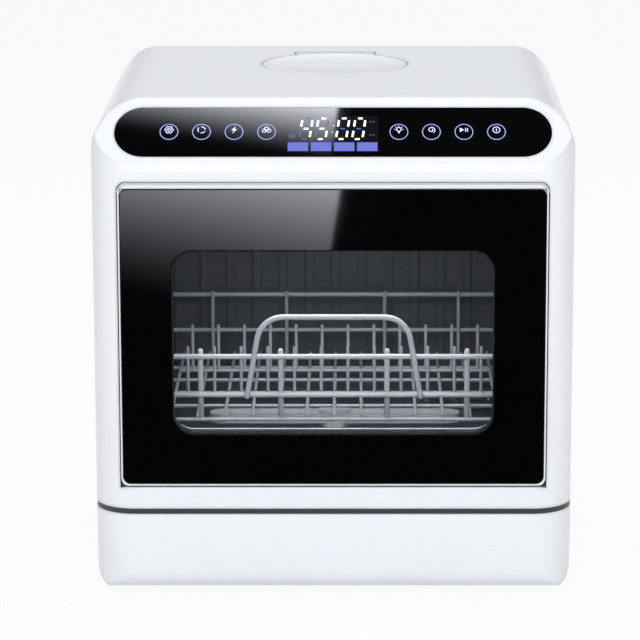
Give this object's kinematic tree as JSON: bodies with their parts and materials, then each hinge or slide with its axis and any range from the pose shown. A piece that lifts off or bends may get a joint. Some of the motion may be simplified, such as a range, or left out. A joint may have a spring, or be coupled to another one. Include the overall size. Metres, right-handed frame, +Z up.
{
  "type": "countertop dishwasher",
  "caption": "Compact free-standing dishwasher with a drop-down glass door, a pull-out wire rack, a sloped touch panel and a round fill lid on top.",
  "frame": {"origin": "centre of the outline seen from above, on the surface the feet stand on", "axes": "+Z up, the door faces -Y, +X to the right as seen from the front"},
  "size_m": [0.43, 0.4, 0.445],
  "materials": {
    "white_casing": "smooth gloss",
    "white_inner": "smooth satin",
    "dark_band": "satin",
    "grey_plastic": "satin",
    "dark_plastic": "fine grain",
    "light_plastic": "satin",
    "grey_sheet": "painted sheet",
    "bright_steel": "brushed",
    "silver_trim": "polished bevel",
    "rack_wire": "nylon-coated wire",
    "tub_grey": "slate, satin",
    "seal_rubber": "matte",
    "foot_rubber": "matte",
    "dark_rubber": "matte",
    "tank_plastic": "translucent milky",
    "board_green": "circuit board",
    "panel_black": "black gloss",
    "door_glass": "tinted tempered glass",
    "inner_glass": "clear tempered glass"
  },
  "bodies": {
    "cabinet": {"outer_casing": "white_casing", "trim_band": "dark_band", "base_housing": "white_casing", "tub_cradle": "grey_plastic", "feet": "foot_rubber", "rear_panel": "grey_sheet", "rear_screws": "bright_steel", "connector_sleeve": "grey_plastic", "connector_plate": "grey_plastic", "inlet_valve": "light_plastic", "drain_spigot": "dark_plastic", "cord_gland": "dark_rubber", "door_jamb": "white_inner", "hinge_brackets": "bright_steel", "hinge_bushes": "light_plastic", "latch_body": "dark_plastic", "tub": "tub_grey", "tub_seal": "seal_rubber", "rack_rails": "grey_plastic", "sump": "dark_plastic", "arm_post": "dark_plastic", "wash_pump_motor": "bright_steel", "wash_pump_volute": "dark_plastic", "delivery_pipe": "dark_rubber", "heater": "bright_steel", "drain_pump": "dark_plastic", "drain_pipe": "dark_rubber", "water_tank": "tank_plastic", "tank_pipes": "dark_rubber", "fill_basin": "white_inner", "lid_pin": "bright_steel", "fan_housing": "dark_plastic", "power_board": "board_green", "panel_carrier": "dark_plastic", "panel_glass": "panel_black", "control_board": "board_green"},
    "door": {"door_frame": "white_casing", "door_glass": "door_glass", "glass_mask": "panel_black", "door_trim": "silver_trim", "door_liner": "white_inner", "inner_glass": "inner_glass", "hinge_arms": "bright_steel", "latch_striker": "bright_steel", "dispenser_cup": "grey_plastic"},
    "rack": {"rack_front": "rack_wire", "rack_rear": "rack_wire", "rack_sides": "rack_wire", "rack_floor": "rack_wire", "rack_tines": "rack_wire", "rack_handle": "rack_wire", "rack_glides": "light_plastic"},
    "spray_arm": {"spray_arm": "light_plastic"},
    "filter": {"filter_cup": "bright_steel"},
    "fill_lid": {"fill_lid": "white_casing"},
    "dispenser_lid": {"dispenser_lid": "light_plastic"},
    "fan_wheel": {"fan_impeller": "light_plastic"},
    "wash_wheel": {"wash_impeller": "light_plastic"},
    "drain_wheel": {"drain_impeller": "light_plastic"},
    "latch_pawl": {"latch_pawl": "bright_steel"}
  },
  "joints": [
    {"name": "door_hinge", "type": "hinge", "parent": "cabinet", "child": "door", "pos_m": [0, -0.181, 0.12], "axis": [1, 0, 0], "range_deg": [0, 90]},
    {"name": "rack_slide", "type": "slide", "parent": "cabinet", "child": "rack", "axis": [0, -1, 0], "range_m": [0, 0.0975]},
    {"name": "spray_arm_spin", "type": "hinge", "parent": "cabinet", "child": "spray_arm", "pos_m": [0, -0.03, 0.118], "axis": [0, 0, 1], "continuous": true},
    {"name": "filter_lift", "type": "slide", "parent": "cabinet", "child": "filter", "axis": [0, 0, 1], "range_m": [0, 0.028]},
    {"name": "fill_lid_hinge", "type": "hinge", "parent": "cabinet", "child": "fill_lid", "pos_m": [0, 0.1265, 0.438], "axis": [-1, 0, 0], "range_deg": [0, 95]},
    {"name": "dispenser_slide", "type": "slide", "parent": "door", "child": "dispenser_lid", "axis": [-1, 0, 0], "range_m": [0, 0.05]},
    {"name": "fan_spin", "type": "hinge", "parent": "cabinet", "child": "fan_wheel", "pos_m": [0.125, 0.04, 0.38], "axis": [0, 0, 1], "continuous": true},
    {"name": "wash_pump_spin", "type": "hinge", "parent": "cabinet", "child": "wash_wheel", "pos_m": [0.04, 0.072, 0.062], "axis": [1, 0, 0], "continuous": true},
    {"name": "drain_pump_spin", "type": "hinge", "parent": "cabinet", "child": "drain_wheel", "pos_m": [0.147, 0.01, 0.034], "axis": [1, 0, 0], "continuous": true},
    {"name": "latch_pawl_hinge", "type": "hinge", "parent": "cabinet", "child": "latch_pawl", "pos_m": [0, -0.122, 0.384], "axis": [-1, 0, 0], "range_deg": [0, 12], "stiffness_Nm_per_rad": 0.02, "springref_deg": -34.38}
  ],
  "couplings": [
    {"joint": "rack_slide", "follows": "door_hinge", "m_per_rad": 0.062}
  ]
}
